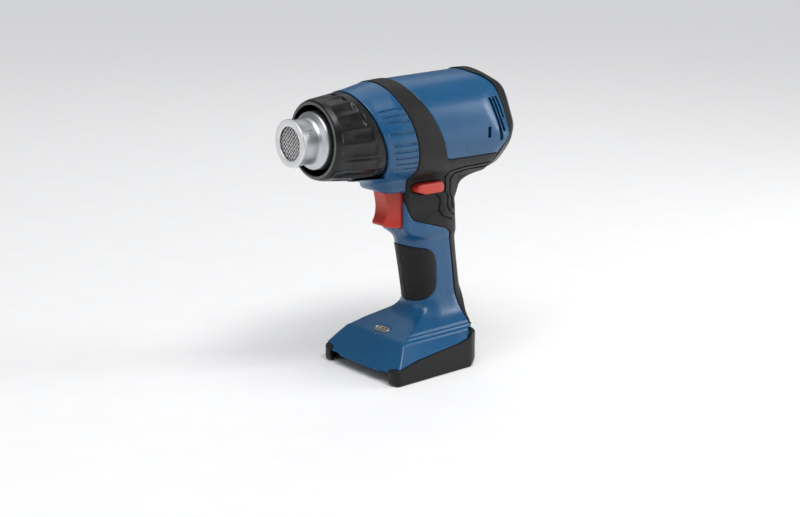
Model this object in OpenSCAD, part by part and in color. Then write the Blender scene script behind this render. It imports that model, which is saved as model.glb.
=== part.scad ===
// Cordless heat gun, bare tool without its battery pack.
// Frame: +X along the barrel towards the outlet, +Y the tool's left side, +Z up.
// The origin is on the ground under the middle of the tool. Lengths are in millimetres.

/* [Barrel] */
// Height of the barrel's centre line above the ground
axis_z = 154; // [153:0.5:155]
// Outlet face, measured forwards from the middle of the tool
tip_x = 83; // [82.5:0.5:85]
// Rear face of the back cap, measured backwards from the middle of the tool
tail_x = 83; // [82.5:0.5:85]
// Radius of the rear housing under the back cap's lip
barrel_r = 33.8; // [33.4:0.1:34.2]
// Wall of the two housing shells
wall = 3; // [2.8:0.1:3.2]
// Depth of the pockets that hold the soft grip pieces
inlay = 1.4; // [1.2:0.1:1.6]
// How far the soft grip pieces stand proud of the shells
proud = 0.5; // [0.3:0.1:0.7]

/* [Hot end] */
// Outer radius of the lip that accessory nozzles slide over
lip_r = 14.5; // [14:0.1:15]
// Outer radius of the outlet tube behind the lip
spout_r = 13.6; // [13.2:0.1:13.8]
// Radius of the open mouth
mouth_r = 10.2; // [9.5:0.1:10.8]
// Radius of the shoulder where the spout meets the heater tube
shoulder_r = 17.6; // [17.4:0.1:17.8]
// Number of turns in the heating coil
coil_turns = 9; // [5:1:10]
// Number of finger flutes round the heat sleeve
flutes = 18; // [14:1:20]

/* [Fan] */
// Number of impeller blades
blades = 9; // [5:1:11]
// Outer radius of the impeller
fan_r = 23.4; // [22:0.1:23.6]
// Radius of the motor shaft
shaft_r = 1.2; // [1:0.1:1.4]
// Radial running clearance of the shaft in the motor's bushes
shaft_play = 0.05; // [0.03:0.01:0.08]

/* [Handle and foot] */
// Half width of the handle
grip_hw = 14.6; // [14.2:0.1:15]
// Forward lean of the handle in degrees
grip_lean = 8.7; // [8:0.1:9.5]
// Half width of the neck that joins barrel and handle
neck_hw = 15.8; // [15.6:0.1:16]
// Half width of the foot
foot_hw = 37.5; // [37.2:0.1:38]
// Height of the foot's upper edge
foot_z = 23.2; // [23:0.1:23.6]

/* [Controls] */
// Travel of the trigger
trigger_travel = 6.5; // [5:0.1:6.5]
// How far the lock slider's end stands out of the left side
lock_out = 4; // [3:0.1:5]
// Travel of the lock slider across the tool
lock_travel = 5; // [3:0.5:5]

/* [Hidden] */
$fn = 64;

BLUE = "#1565a5";
BLACK = "#1b1b1d";
RED = "#c8321e";
STEEL = "#b9bec4";

fit = 0.3;      // gap between parts that move past each other
seat = 0.05;    // gap between parts that sit in each other
wide = 60;      // half width that clears the whole tool
foot_low = 7;   // lower edge of the shells at the foot
deck_hw = 29.4; // half width of the foot's sloping front face

// Slanted seam behind the heat sleeve: [X where it crosses the centre line, X per unit of Z]
seam_sleeve = [33.3, 0.365];

// Barrel outline as [X, radius], from front to back
barrel_line = [[44, barrel_r - 6.2], [36, barrel_r - 5.2], [30, barrel_r - 4], [22, barrel_r - 2.4],
    [12, barrel_r - 1.9], [0, barrel_r - 1.5], [-52, barrel_r], [-67.5, barrel_r]];

// Flats round the rear end: angle above the horizontal, and distance from the centre line at flat_x
rear_angles = [72.6, 22.8, -39.5];
rear_reach = [27, 24.6, 28.2];
flat_x = -74;
// Slope of the flats ahead of flat_x and behind it
shallow = 0.45;
steep = 0.95;

// Side outlines in X and Z
neck_line = [[33, 131], [29, 126], [25.5, 121], [22, 117.6], [15, 116.3], [5, 116.3], [5, 91.5],
    [0.5, 87], [-50, 87], [-50, 140], [33, 140]];
// Room inside the neck, from the side and from above
room_line = [[-38, 85], [-38, 137], [27, 137], [20, 120.6], [17, 119.4], [2, 119.4], [2, 93],
    [-1, 90], [-6, 85]];
room_plan = [[22, 0], [22, 4], [19, 8], [14, 10.6], [-24, 12.6], [-31, 11.2], [-36, 6], [-37.4, 0]];
web_line = [[-34, 108], [-40.5, 109], [-44.5, 115], [-51, 122], [-64, 130], [-64, 140], [-34, 140]];
foot_line = [[33, foot_low], [19.3, foot_z], [-38, foot_z], [-42.5, foot_z - 3], [-42.5, foot_low]];
guard_line = [[31, 0], [33.5, 3], [33.5, 9.5], [13.2, 14], [-20.6, 17.6], [-29.3, 19.1],
    [-33, foot_z - 0.4], [-46, foot_z - 0.4], [-46, 8], [-38, 4.9], [-34, 2.2], [-30.5, 0]];
cap_line = [[-48.8, 192], [-49.5, 187], [-57, 184.5], [-62.6, 176], [-66.4, 164], [-66.8, 148],
    [-62.6, 141], [-61, 136], [-61, 115], [-90, 115], [-90, 192]];

// Air intake slots, as lines in X and Z
slot_w = 1.7;
slot_lines = [[[-52, 172], [-54, 163.3], [-57, 153.3], [-59.6, 144.4]],
    [[-55.6, 172], [-57.6, 163], [-60, 154.5], [-61.6, 150]],
    [[-59.2, 172], [-61.4, 164.8], [-63, 158]],
    [[-47.5, 154.3], [-48.4, 147.1]]];
grip_line = [[23.8, 192], [3.4, 130], [5, 123], [5, 112], [3.3, 105.4], [0.9, 99.9], [-1.6, 97.3],
    [-27, 89.1], [-31.5, 85.5], [-35.7, 65], [-38.2, 44.5], [-41.9, 31.4], [-44, foot_z],
    [-64, foot_z], [-64, 112], [-60.9, 115], [-60.9, 136], [-17.1, 136], [11.5, 192]];
pad_line = [[8, 82], [-3.6, 78.5], [-13, 77], [-18, 73.5], [-20.5, 66], [-20.8, 50],
    [-16, 44.5], [-10, 41.5], [0, 40.5], [8, 40.5]];

// Foot outlines, left half: from above in X and Y, from the front in -Z and Y
foot_plan = [[33, 0], [33, foot_hw - 3], [30.5, foot_hw], [-31, foot_hw], [-36.5, foot_hw - 2.5],
    [-39.5, foot_hw - 8], [-42, 14], [-42.5, 0]];
foot_face = [[-foot_z, 0], [-foot_z, 26], [1.8 - foot_z, deck_hw], [-15, foot_hw], [4, foot_hw], [4, 0]];

// Housing screws: [X, Z, depth of the head below the middle plane]
screws = [[-34.6, 104, 8], [-22.6, 42, 8], [18.5, 131, 14], [24, 177.5, 13], [-57.5, 132.5, 18],
    [-50, 178, 16]];
boss_r = 3.3;
head_r = 2.8;
head_h = 2.2;
shank_r = 1.5;
shank_in = 9;

// Handle: middle of its length, half of the flat between its two round edges, lower end to upper end
handle_x = -25.5;
handle_z = 60;
grip_flat = 5.6;
grip_low = 34;
grip_length = 72;

// Fan, motor and heater
duct_r = 25.6;
duct_bore = 24.4;
duct_back = -26;
duct_front = 9;
can_r = 14;
can_back = -58;
can_front = -29;
mount_x = -45;
mount_rim = barrel_r - wall - 0.6;
tube_r = 16.7;
tube_bore = 16.1;
coil_r = 12.3;
coil_back = 22;
coil_length = 36;

// Trigger
trigger_back = -0.2;
trigger_line = [[15.8, 115.9], [14.6, 111], [15, 105], [17.2, 98.5], [16.8, 96.4], [12, 93.6], [5, 92.4],
    [trigger_back, 92.4], [trigger_back, 115.9]];
trigger_plan = [[trigger_back, 9.6], [5.5, 9.6], [13.4, 6.6], [18, 4.6]];
switch_front = trigger_back - trigger_travel - 1;
switch_top = 112.5;
spring_seat = switch_front - 8;
plunger_z = 103;
plate_hw = 10.8;
plate_low = 92.6;
plate_top = 115.6;

// Lock slider
lock_line = [[0.1, 119], [-2.3, 120.9], [-20.6, 120.9], [-22.2, 118.8], [-22.2, 115.2],
    [-20.6, 113.9], [-7.3, 113.9], [0.1, 116.4]];

// Battery bay
bay_top = 6.8;
bay_hw = 33.9;
bay_back = -36;
bay_front = 25;
rail_low = 0.6;
block_back = -29;
block_hw = 14;
pole_pitch = 7;

// Routes of the wires, in X and Z, at a fixed distance from the middle plane
supply_route = [[-21, 14.3], [-22, 20], [-31, 28], [-34, 38], [-28, 52], [-23, 72], [-19, 84], [-18, 91.9]];
heater_route = [[-38.9, 133.7], [-38.9, 136.5], [-33, 136.5], [-29.8, 133], [-28.6, 128], [-25, 126.7],
    [-4, 126.2], [5.5, 126.5]];

// --- helpers ---------------------------------------------------------------

module along_x() {
    translate([0, 0, axis_z]) rotate([0, 90, 0]) children();
}

// Ring on the barrel's centre line from x0 to x1
module ring_x(x0, x1, outer, inner) {
    along_x() translate([0, 0, x0]) difference() {
        cylinder(h = x1 - x0, r = outer);
        translate([0, 0, -1]) cylinder(h = x1 - x0 + 2, r = inner);
    }
}

module rod_x(x0, x1, r) {
    along_x() translate([0, 0, x0]) cylinder(h = x1 - x0, r = r);
}

// Solid of revolution from a list of [X, radius]
module spin_x(line) {
    along_x() rotate_extrude() polygon(concat(
        [[0, line[0].x]], [for (p = line) [p.y, p.x]], [[0, line[len(line) - 1].x]]));
}

// Side outline in X and Z, extruded across the tool
module across(line, half) {
    rotate([90, 0, 0]) linear_extrude(2 * half, center = true) polygon(line);
}

module left_half() {
    translate([-150, seat, -10]) cube([300, wide, 260]);
}

module mirrored(side) {
    if (side < 0) mirror([0, 1, 0]) children();
    else children();
}

// Everything in front of a slanted seam
module ahead_of(seam, gap = 0) {
    x0 = seam.x + gap;
    across([[x0 - 50 * seam.y, axis_z - 50], [x0 + 50 * seam.y, axis_z + 50],
        [120, axis_z + 50], [120, axis_z - 50]], wide);
}

// Tube swept along a list of points, with flat ends
function unit(v) = v / norm(v);
function heading(p, i) = unit(p[min(i + 1, len(p) - 1)] - p[max(i - 1, 0)]);
module sweep(p, r, sides, up) {
    rings = [for (i = [0:len(p) - 1]) let (t = heading(p, i), u = unit(cross(up, t)), w = cross(t, u))
        for (k = [0:sides - 1]) p[i] + r * (cos(360 * k / sides) * u + sin(360 * k / sides) * w)];
    last = (len(p) - 1) * sides;
    polyhedron(rings, concat([[for (k = [0:sides - 1]) k]],
        [for (i = [0:len(p) - 2]) for (k = [0:sides - 1]) for (h = [0, 1])
            let (a = i * sides + k, b = i * sides + (k + 1) % sides)
            h == 0 ? [a, a + sides, b + sides] : [a, b + sides, b]],
        [[for (k = [sides - 1:-1:0]) last + k]]));
}

// --- outer form ------------------------------------------------------------

// Everything inside one sloping flat, facing the given angle
module rear_flat(angle, reach) {
    translate([0, 0, axis_z]) rotate([angle - 90, 0, 0])
        across([[-100, -wide], [-100, reach - steep * (flat_x + 100)], [flat_x, reach],
            [wide, reach + shallow * (wide - flat_x)], [wide, -wide]], wide);
}

// The taper of the rear end, set d inside its surface
module rear_taper(d) {
    intersection() {
        rear_flat(rear_angles[0], rear_reach[0] - d);
        rear_flat(180 - rear_angles[0], rear_reach[0] - d);
        rear_flat(rear_angles[1], rear_reach[1] - d);
        rear_flat(180 - rear_angles[1], rear_reach[1] - d);
        rear_flat(rear_angles[2], rear_reach[2] - d);
        rear_flat(180 - rear_angles[2], rear_reach[2] - d);
    }
}

module barrel_form(d) {
    intersection() {
        spin_x([for (p = barrel_line) [p.x, p.y - d]]);
        rear_taper(d);
    }
}

module neck_form(d) {
    intersection() {
        rotate([90, 0, 0]) linear_extrude(2 * (neck_hw - d), center = true)
            offset(delta = -d) polygon(neck_line);
        translate([0, 0, 80]) linear_extrude(64) hull() {
            translate([14, 0]) circle(13.4 - d);
            translate([-24.7, 0]) circle(neck_hw - d);
        }
    }
    rotate([90, 0, 0]) linear_extrude(2 * (10 - d), center = true) offset(delta = -d) polygon(web_line);
}

module handle_form(d) {
    length = grip_length - d;
    translate([handle_x, 0, handle_z]) rotate([0, grip_lean, 0]) translate([0, 0, -grip_low + d]) {
        for (s = [-1, 1]) translate([s * grip_flat, 0, 0]) cylinder(h = length, r = grip_hw - d);
        translate([-grip_flat, -grip_hw + d, 0]) cube([2 * grip_flat, 2 * (grip_hw - d), length]);
    }
}

// Completes a half outline whose two ends lie on the middle line
function both(half) = concat(half, [for (i = [len(half) - 2:-1:1]) [half[i].x, -half[i].y]]);

module foot_plate(d) {
    linear_extrude(foot_z + 2) offset(delta = -d) polygon(both(foot_plan));
}

module foot_form(d) {
    intersection() {
        rotate([90, 0, 0]) linear_extrude(2 * wide, center = true) offset(delta = -d) polygon(foot_line);
        foot_plate(d);
        rotate([0, 90, 0]) linear_extrude(3 * wide, center = true) offset(delta = -d) polygon(both(foot_face));
    }
    hull() {
        translate([-37 + d, -27 + d, foot_z - 3 - d]) cube([56 - 2 * d, 54 - 2 * d, 3]);
        for (s = [-1, 1]) translate([-29.6 + s * grip_flat, 0, 34.5 - d]) cylinder(h = 1, r = grip_hw - d, $fn = 32);
    }
}

module outer_form(d) {
    barrel_form(d);
    neck_form(d);
    handle_form(d);
    foot_form(d);
}

// Room for the switch and the wires in the neck
module neck_room() {
    intersection() {
        across(room_line, neck_hw - wall);
        translate([0, 0, 84]) linear_extrude(60) polygon(both(room_plan));
    }
    translate([-42, -7, 116]) cube([12, 14, 12]);
}

module inner_form() {
    barrel_form(wall);
    neck_room();
    handle_form(wall);
    foot_form(wall);
    rod_x(30, 50, barrel_r - 8.2);
}

module bosses() {
    for (s = screws) translate([s.x, wide, s.y]) rotate([90, 0, 0]) cylinder(h = 2 * wide, r = boss_r + 1);
}

module screw_holes() {
    for (s = screws) translate([s.x, 0, s.y]) rotate([90, 0, 0]) {
        translate([0, 0, -shank_in - 0.5]) cylinder(h = shank_in + s.z + 1.5, r = shank_r + seat);
        translate([0, 0, s.z]) cylinder(h = wide, r = head_r + fit);
    }
}

module trigger_window() {
    translate([-3, -10, 92]) cube([12, 20, 24.2]);
}

module lock_window() {
    rotate([90, 0, 0]) linear_extrude(2 * wide, center = true) offset(delta = fit) polygon(lock_line);
}

module intake_slots() {
    for (p = slot_lines) across(concat([for (q = p) [q.x - slot_w / 2, q.y]],
        [for (i = [len(p) - 1:-1:0]) [p[i].x + slot_w / 2, p[i].y]]), wide);
}

// --- housing ---------------------------------------------------------------

module housing_side(side) {
    difference() {
        intersection() {
            outer_form(0);
            mirrored(side) left_half();
        }
        difference() {
            union() {
                inner_form();
                translate([foot_line[3].x, -bay_hw - seat, 4])
                    cube([bay_front + seat - foot_line[3].x, 2 * (bay_hw + seat), 6.6]);
            }
            bosses();
        }
        ahead_of(seam_sleeve);
        across(cap_line, wide);
        difference() {
            union() {
                across(grip_line, wide);
                across(pad_line, wide);
            }
            outer_form(inlay);
        }
        difference() {
            across(guard_line, wide);
            foot_plate(3.3);
            translate([20, -deck_hw + seat, -1]) cube([20, 2 * (deck_hw - seat), 30]);
        }
        screw_holes();
        trigger_window();
        lock_window();
        intake_slots();
        led_pocket();
    }
}

module led_pocket() {
    translate([13, 0, 20]) rotate([0, 20, 0]) linear_extrude(9) {
        square([5.2, 7.2], center = true);
        for (s = [-1, 1]) translate([0, s * 3.6]) circle(2.6);
    }
}

module housing_left() {
    color(BLUE) housing_side(1);
}

module housing_right() {
    color(BLUE) housing_side(-1);
}

// Soft piece that fills its pocket in the shell and stands a little proud
module inlay_piece(line, side) {
    difference() {
        intersection() {
            outer_form(-proud);
            across(line, wide);
            mirrored(side) left_half();
        }
        outer_form(inlay - seat);
        trigger_window();
        lock_window();
        screw_holes();
    }
}

module grip_left() {
    color(BLACK) inlay_piece(grip_line, 1);
}

module grip_right() {
    color(BLACK) inlay_piece(grip_line, -1);
}

module front_pad_left() {
    color(BLACK) inlay_piece(pad_line, 1);
}

module front_pad_right() {
    color(BLACK) inlay_piece(pad_line, -1);
}

module rear_cap() {
    lip = barrel_r + 0.7;
    inner = barrel_r - 1.8;
    color(BLACK) difference() {
        intersection() {
            spin_x([[-45, lip], [-58, lip], [-70, lip - 3], [-tail_x + 1, lip - 13.8], [-tail_x, lip - 15]]);
            rear_taper(-0.4);
            translate([-seat, 0, 0]) across(cap_line, wide);
        }
        intersection() {
            spin_x([[-40, inner], [-58, inner], [-69, inner - 3.2], [-tail_x + 2.2, inner - 14.2]]);
            rear_taper(2.4);
        }
        for (k = [-2:2]) translate([-tail_x - 5, abs(k) - 10, axis_z + 5 * k - 1])
            cube([12, 20 - 2 * abs(k), 2]);
    }
}

module intake_screen() {
    color("#3a3c3f") difference() {
        rod_x(-68.4, -67.4, 24.4);
        for (i = [-5:5]) for (j = [-5:5]) if (norm([i, j]) < 5.2)
            translate([-70, 4.2 * i - 1.5, axis_z + 4.2 * j - 1.5]) cube([4, 3, 3]);
    }
}

module guard_side(side) {
    color(BLACK) difference() {
        intersection() {
            foot_plate(0);
            across(guard_line, wide);
            mirrored(side) left_half();
        }
        foot_plate(3.2);
        translate([20, -deck_hw, -1]) cube([20, 2 * deck_hw, 30]);
    }
}

module guard_left() {
    guard_side(1);
}

module guard_right() {
    guard_side(-1);
}

// --- hot end ---------------------------------------------------------------

module heat_sleeve() {
    color(BLACK) difference() {
        union() {
            intersection() {
                spin_x([[66.5, 22.5], [65.6, 23.6], [64, 24.4], [54.8, 25.1], [51.2, 25.3], [50.4, 26.4],
                    [42.8, 27.2], [34, 27.7], [18, 28.3]]);
                ahead_of(seam_sleeve, 0.25);
            }
            rod_x(28.2, 50, 25.2);
        }
        rod_x(15, 64.5, 23.4);
        rod_x(60, 70, 21.2);
        for (k = [0:flutes - 1]) along_x() rotate([0, 0, 360 * (k + 0.5) / flutes])
            translate([32.4, 0, 33]) cylinder(h = 16, r = 6.3);
    }
}

module outlet_nozzle() {
    color(STEEL) difference() {
        spin_x([[tip_x, mouth_r + 3.7], [tip_x - 0.5, lip_r], [tip_x - 2, lip_r], [tip_x - 2.4, spout_r],
            [70, spout_r], [69, spout_r + 1], [68, shoulder_r - 1], [67, shoulder_r], [56, shoulder_r]]);
        spin_x([[tip_x + 1, mouth_r], [tip_x - 1.2, mouth_r], [tip_x - 1.2, 12.6], [69.5, 12.6], [67, 16.75], [50, 16.75]]);
    }
}

module outlet_mesh() {
    color("#8b9096") difference() {
        rod_x(tip_x - 2.2, tip_x - 1.25, 12.5);
        for (i = [-4:4]) for (j = [-4:4]) if (norm([i, j]) < 4.3)
            translate([tip_x - 4, 2.2 * i - 0.75, axis_z + 2.2 * j - 0.75]) cube([4, 1.5, 1.5]);
    }
}

module heater_tube() {
    color(STEEL) ring_x(9.2, 66, tube_r, tube_bore);
}

module mica_tube() {
    color("#c9b98f") ring_x(14, 62, tube_bore - 0.1, 15.2);
}

module heater_former() {
    color("#e4e0d6") {
        for (a = [0, 90]) translate([20, 0, axis_z]) rotate([a, 0, 0])
            translate([0, -0.6, -11]) cube([40, 1.2, 22]);
    }
}

module heating_coil() {
    steps = 18;
    color("#9a8f84") sweep([for (i = [0:coil_turns * steps]) let (a = 360 * i / steps)
        [coil_back + coil_length * i / (coil_turns * steps), coil_r * cos(a), axis_z + coil_r * sin(a)]],
        0.8, 6, [1, 0, 0]);
}

module heater_flange() {
    color("#d8d2c4") ring_x(9.2, 13.5, 28.7, tube_r + seat);
}

module thermal_cutout() {
    color("#74777c") rod_x(14, 19.5, 4);
}

// --- fan and motor ---------------------------------------------------------

module fan_duct() {
    color("#2a2b2e") {
        ring_x(duct_back, duct_front, duct_r, duct_bore);
        ring_x(duct_back, duct_back + 1.2, duct_r - 0.6, 17);
        ring_x(duct_front - 2, duct_front, duct_r + 3.3, duct_r - 0.6);
        ring_x(duct_front - 1.2, duct_front, duct_r - 0.6, tube_bore);
        for (k = [0:6]) along_x() rotate([0, 0, 360 * k / 7])
            translate([8.4, -0.6, -6]) cube([16.6, 1.2, 14.4]);
        ring_x(-7, 7.6, 9, 7.8);
    }
}

module impeller() {
    color("#4b4e52") {
        ring_x(-23, -9, 6, shaft_r);
        ring_x(-11, -9, fan_r, 5.5);
        for (k = [0:blades - 1]) along_x() rotate([0, 0, 360 * k / blades])
            translate([5.5, -0.6, -23]) cube([fan_r - 6, 1.2, 12.5]);
    }
}

module motor_shaft() {
    color(STEEL) rod_x(-59.5, -8, shaft_r);
}

module motor_armature() {
    color("#8a4a2a") ring_x(-52, -36, 9.6, shaft_r);
}

module motor_can() {
    color("#7d8287") {
        ring_x(can_back, can_front, can_r, can_r - 1.2);
        ring_x(can_back, can_back + 2, can_r - 1, shaft_r + shaft_play);
        ring_x(can_front - 2, can_front, can_r - 1, shaft_r + shaft_play);
    }
}

module motor_mount() {
    color("#232427") {
        ring_x(mount_x, mount_x + 4.6, can_r + 2.5, can_r + seat);
        ring_x(mount_x, mount_x + 4.6, mount_rim, mount_rim - 1.8);
        for (a = [60, 180, 300]) along_x() rotate([0, 0, a])
            translate([can_r + 2.2, -2, mount_x]) cube([mount_rim - can_r - 3.4, 4, 4.6]);
    }
}

// --- controls --------------------------------------------------------------

module control_board() {
    color("#2f6b3c") {
        translate([-52.5, -13, 132.2]) cube([20.5, 26, 1.5]);
        translate([-51, -10, 129.4]) cube([6, 9, 3]);
        translate([-42, 2, 130.4]) cube([7, 7, 2]);
        translate([-44, 6, 128.2]) cylinder(h = 4.2, r = 3);
    }
}

module switch_module() {
    color("#3b3d42") difference() {
        union() {
            translate([-29, -8.5, 92]) cube([29 + switch_front, 17, switch_top - 92]);
            translate([-31, -6, 109]) cube([4, 12, 3.5]);
        }
        translate([spring_seat, 0, plunger_z]) rotate([0, 90, 0]) cylinder(h = 20, r = 5.2);
        translate([-26, 0, plunger_z]) rotate([0, 90, 0]) cylinder(h = 20, r = 2.05);
    }
}

module switch_plunger() {
    color("#d9d9d4") translate([spring_seat - 2, 0, plunger_z]) rotate([0, 90, 0])
        cylinder(h = trigger_back - spring_seat + 2, r = 2);
}

module trigger() {
    color(RED) {
        intersection() {
            across(trigger_line, 11);
            translate([0, 0, 80]) linear_extrude(50) polygon(concat(trigger_plan,
                [for (i = [len(trigger_plan) - 1:-1:0]) [trigger_plan[i].x, -trigger_plan[i].y]]));
        }
        translate([trigger_back, -plate_hw, plate_low]) cube([1.7, 2 * plate_hw, plate_top - plate_low]);
    }
}

module trigger_spring() {
    steps = 14;
    turns = 6;
    span = trigger_back - spring_seat - 1;
    color("silver") sweep([for (i = [0:turns * steps]) let (a = 360 * i / steps)
        [spring_seat + 0.5 + span * i / (turns * steps), 3.9 * cos(a), plunger_z + 3.9 * sin(a)]], 0.4, 6, [1, 0, 0]);
}

module lock_slider() {
    side = plate_hw + fit + 0.1;
    color(RED) difference() {
        translate([0, lock_out / 2, 0]) across(lock_line, neck_hw + lock_out / 2);
        translate([-30, -side, 110]) cube([40, 2 * side + lock_travel, plate_top + 0.4 - 110]);
    }
}

// --- battery interface, light and wiring -------------------------------------

module battery_socket() {
    length = bay_front - bay_back;
    color("#26272a") difference() {
        intersection() {
            union() {
                translate([bay_back, -bay_hw, bay_top]) cube([length, 2 * bay_hw, 2.4]);
                translate([bay_back, -bay_hw, rail_low]) cube([3, 2 * bay_hw, 7]);
                for (s = [-1, 1]) {
                    translate([bay_back, s * (bay_hw - 1.2) - 1.2, rail_low]) cube([length, 2.4, 7]);
                    translate([bay_back, s * (bay_hw - 3.2) - 3.2, rail_low]) cube([length, 6.4, 2.4]);
                }
            }
            foot_plate(3.5);
        }
        translate([block_back - 0.1, -block_hw - 0.1, bay_top - 1]) cube([18.2, 2 * block_hw + 0.2, 5]);
        translate([17, -7, bay_top - 1]) cube([5, 14, 2.2]);
    }
}

module terminal_block() {
    color("#303236") difference() {
        union() {
            translate([block_back, -block_hw, bay_top]) cube([18, 2 * block_hw, 7.4]);
            translate([block_back, -block_hw, 1.5]) cube([3, 2 * block_hw, 6]);
        }
        for (k = [-1.5:1:1.5]) translate([block_back + 4, pole_pitch * k - 0.45, 2]) cube([11.1, 0.9, 10]);
    }
}

module contact_blades() {
    color("#c98d4b") for (k = [-1.5:1:1.5]) translate([block_back + 4.1, pole_pitch * k - 0.4, 2])
        cube([10.9, 0.8, 9.9]);
}

module led_lens() {
    color("#f4f0e2") translate([13, 0, 20]) rotate([0, 20, 0]) translate([0, 0, 3.2]) linear_extrude(2) {
        square([4.8, 7], center = true);
        for (s = [-1, 1]) translate([0, s * 3.5]) circle(2.4);
    }
}

module led_board() {
    color("#2f6b3c") translate([13, 0, 0]) {
        translate([-4.5, -8, 17.2]) cube([8, 16, 1.2]);
        translate([-1.6, -1.6, 18.3]) cube([3.2, 3.2, 1.4]);
    }
}

module supply_leads() {
    for (s = [-1, 1]) color(s < 0 ? "#b02418" : "#17181a")
        sweep([for (p = supply_route) [p.x, s * 3.5, p.y]], 1.3, 8, [0, 1, 0]);
}

module heater_leads() {
    for (s = [-1, 1]) color("#d7d2c6")
        sweep([for (p = heater_route) [p.x, s * 4.5, p.y]], 0.9, 8, [0, 1, 0]);
}

module housing_screws() {
    color("#55585c") for (s = screws) translate([s.x, 0, s.y]) rotate([90, 0, 0]) difference() {
        union() {
            translate([0, 0, -shank_in]) cylinder(h = shank_in + s.z, r = shank_r);
            translate([0, 0, s.z]) cylinder(h = head_h, r = head_r);
        }
        translate([0, 0, s.z + 0.8]) cylinder(h = head_h, r = 1.3, $fn = 6);
    }
}

housing_left();
housing_right();
grip_left();
grip_right();
front_pad_left();
front_pad_right();
rear_cap();
intake_screen();
heat_sleeve();
guard_left();
guard_right();
battery_socket();
terminal_block();
contact_blades();
led_lens();
led_board();
outlet_nozzle();
outlet_mesh();
heater_tube();
mica_tube();
heater_former();
heating_coil();
heater_flange();
thermal_cutout();
fan_duct();
impeller();
motor_shaft();
motor_armature();
motor_can();
motor_mount();
control_board();
switch_module();
switch_plunger();
trigger();
trigger_spring();
lock_slider();
supply_leads();
heater_leads();
housing_screws();
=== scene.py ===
import math

import bpy
import numpy as np
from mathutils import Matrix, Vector


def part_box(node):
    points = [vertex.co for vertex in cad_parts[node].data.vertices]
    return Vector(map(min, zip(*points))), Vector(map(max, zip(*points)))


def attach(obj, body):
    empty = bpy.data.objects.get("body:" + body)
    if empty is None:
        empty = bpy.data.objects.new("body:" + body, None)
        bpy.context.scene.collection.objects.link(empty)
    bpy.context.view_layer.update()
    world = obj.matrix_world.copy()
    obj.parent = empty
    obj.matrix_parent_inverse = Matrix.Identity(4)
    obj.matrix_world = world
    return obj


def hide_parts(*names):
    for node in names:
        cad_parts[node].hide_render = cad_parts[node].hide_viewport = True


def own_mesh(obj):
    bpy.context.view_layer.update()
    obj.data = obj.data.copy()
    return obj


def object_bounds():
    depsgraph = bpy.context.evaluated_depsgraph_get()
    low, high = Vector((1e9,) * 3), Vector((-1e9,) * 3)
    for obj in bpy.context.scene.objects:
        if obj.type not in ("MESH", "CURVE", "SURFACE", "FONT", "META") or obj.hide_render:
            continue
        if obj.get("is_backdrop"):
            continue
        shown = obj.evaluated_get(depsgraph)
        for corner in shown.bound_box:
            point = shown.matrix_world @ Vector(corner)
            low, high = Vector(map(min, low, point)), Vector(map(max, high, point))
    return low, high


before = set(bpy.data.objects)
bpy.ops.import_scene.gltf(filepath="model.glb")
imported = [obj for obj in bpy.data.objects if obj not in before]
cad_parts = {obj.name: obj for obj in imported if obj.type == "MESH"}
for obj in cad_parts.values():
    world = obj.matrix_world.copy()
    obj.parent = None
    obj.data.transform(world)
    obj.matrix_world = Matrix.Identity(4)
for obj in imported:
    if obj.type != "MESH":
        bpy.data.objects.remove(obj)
cad_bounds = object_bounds()

# Cordless heat gun. Shapes are worked out in millimetres in the row frame:
# +X towards the outlet, +Y the tool's left side, +Z up. Most are signed distance
# fields, negative inside, which contour() turns into meshes.
MM = 1000.0


def box_mm(node):
    lo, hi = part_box(node)
    return np.array(lo) * MM, np.array(hi) * MM


tube_lo, tube_hi = box_mm("heater_tube")
AXIS = (tube_lo[2] + tube_hi[2]) / 2
TIP = box_mm("outlet_nozzle")[1][0]
TAIL = box_mm("rear_cap")[0][0]
FOOT = box_mm("guard_left")[1][1]
LIP = 14.5      # radius of the outlet's rolled lip
SPOUT = 13.6    # radius of the tube behind it
MOUTH = 10.2    # radius of the open mouth
BARREL = 33.8   # radius of the barrel at its rear
WALL = 2.6      # wall of the shells
INLAY = 1.4     # depth of the pockets for the soft pieces
PROUD = 0.5     # how far the soft pieces stand out
GAP = 0.12      # joint between a shell and a piece set into it
CELL = 0.62     # mesh size of the large pieces
FINE = 0.5      # mesh size of the controls

# ---------------------------------------------------------------- fields


def smax(a, b, k):
    h = np.maximum(k - np.abs(a - b), 0) / k
    return np.maximum(a, b) + h * h * (k * 0.25)


def smin(a, b, k):
    return -smax(-a, -b, k)


def fillet(points, r, steps=4):
    """The outline with each corner replaced by a short curve."""
    out, n = [], len(points)
    for i in range(n):
        a, b, c = (np.array(points[(i + j) % n], float) for j in (-1, 0, 1))
        t = [min(r, 0.45 * np.linalg.norm(v - b)) for v in (a, c)]
        p = b + (a - b) / np.linalg.norm(a - b) * t[0]
        q = b + (c - b) / np.linalg.norm(c - b) * t[1]
        for s in np.linspace(0, 1, steps):
            out.append((1 - s) ** 2 * p + 2 * s * (1 - s) * b + s * s * q)
    return np.array(out)


def outline_distance(points, u, v):
    d = np.full(u.shape, 1e9)
    sign = np.ones(u.shape)
    for a, b in zip(points, np.roll(points, -1, 0)):
        e = b - a
        wu, wv = u - a[0], v - a[1]
        t = np.clip((wu * e[0] + wv * e[1]) / (e @ e + 1e-12), 0, 1)
        d = np.minimum(d, (wu - e[0] * t) ** 2 + (wv - e[1] * t) ** 2)
        above, below, left = v >= a[1], v < b[1], e[0] * wv > e[1] * wu
        sign = np.where((above & below & left) | ~(above | below | left), -sign, sign)
    return sign * np.sqrt(d)


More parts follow.
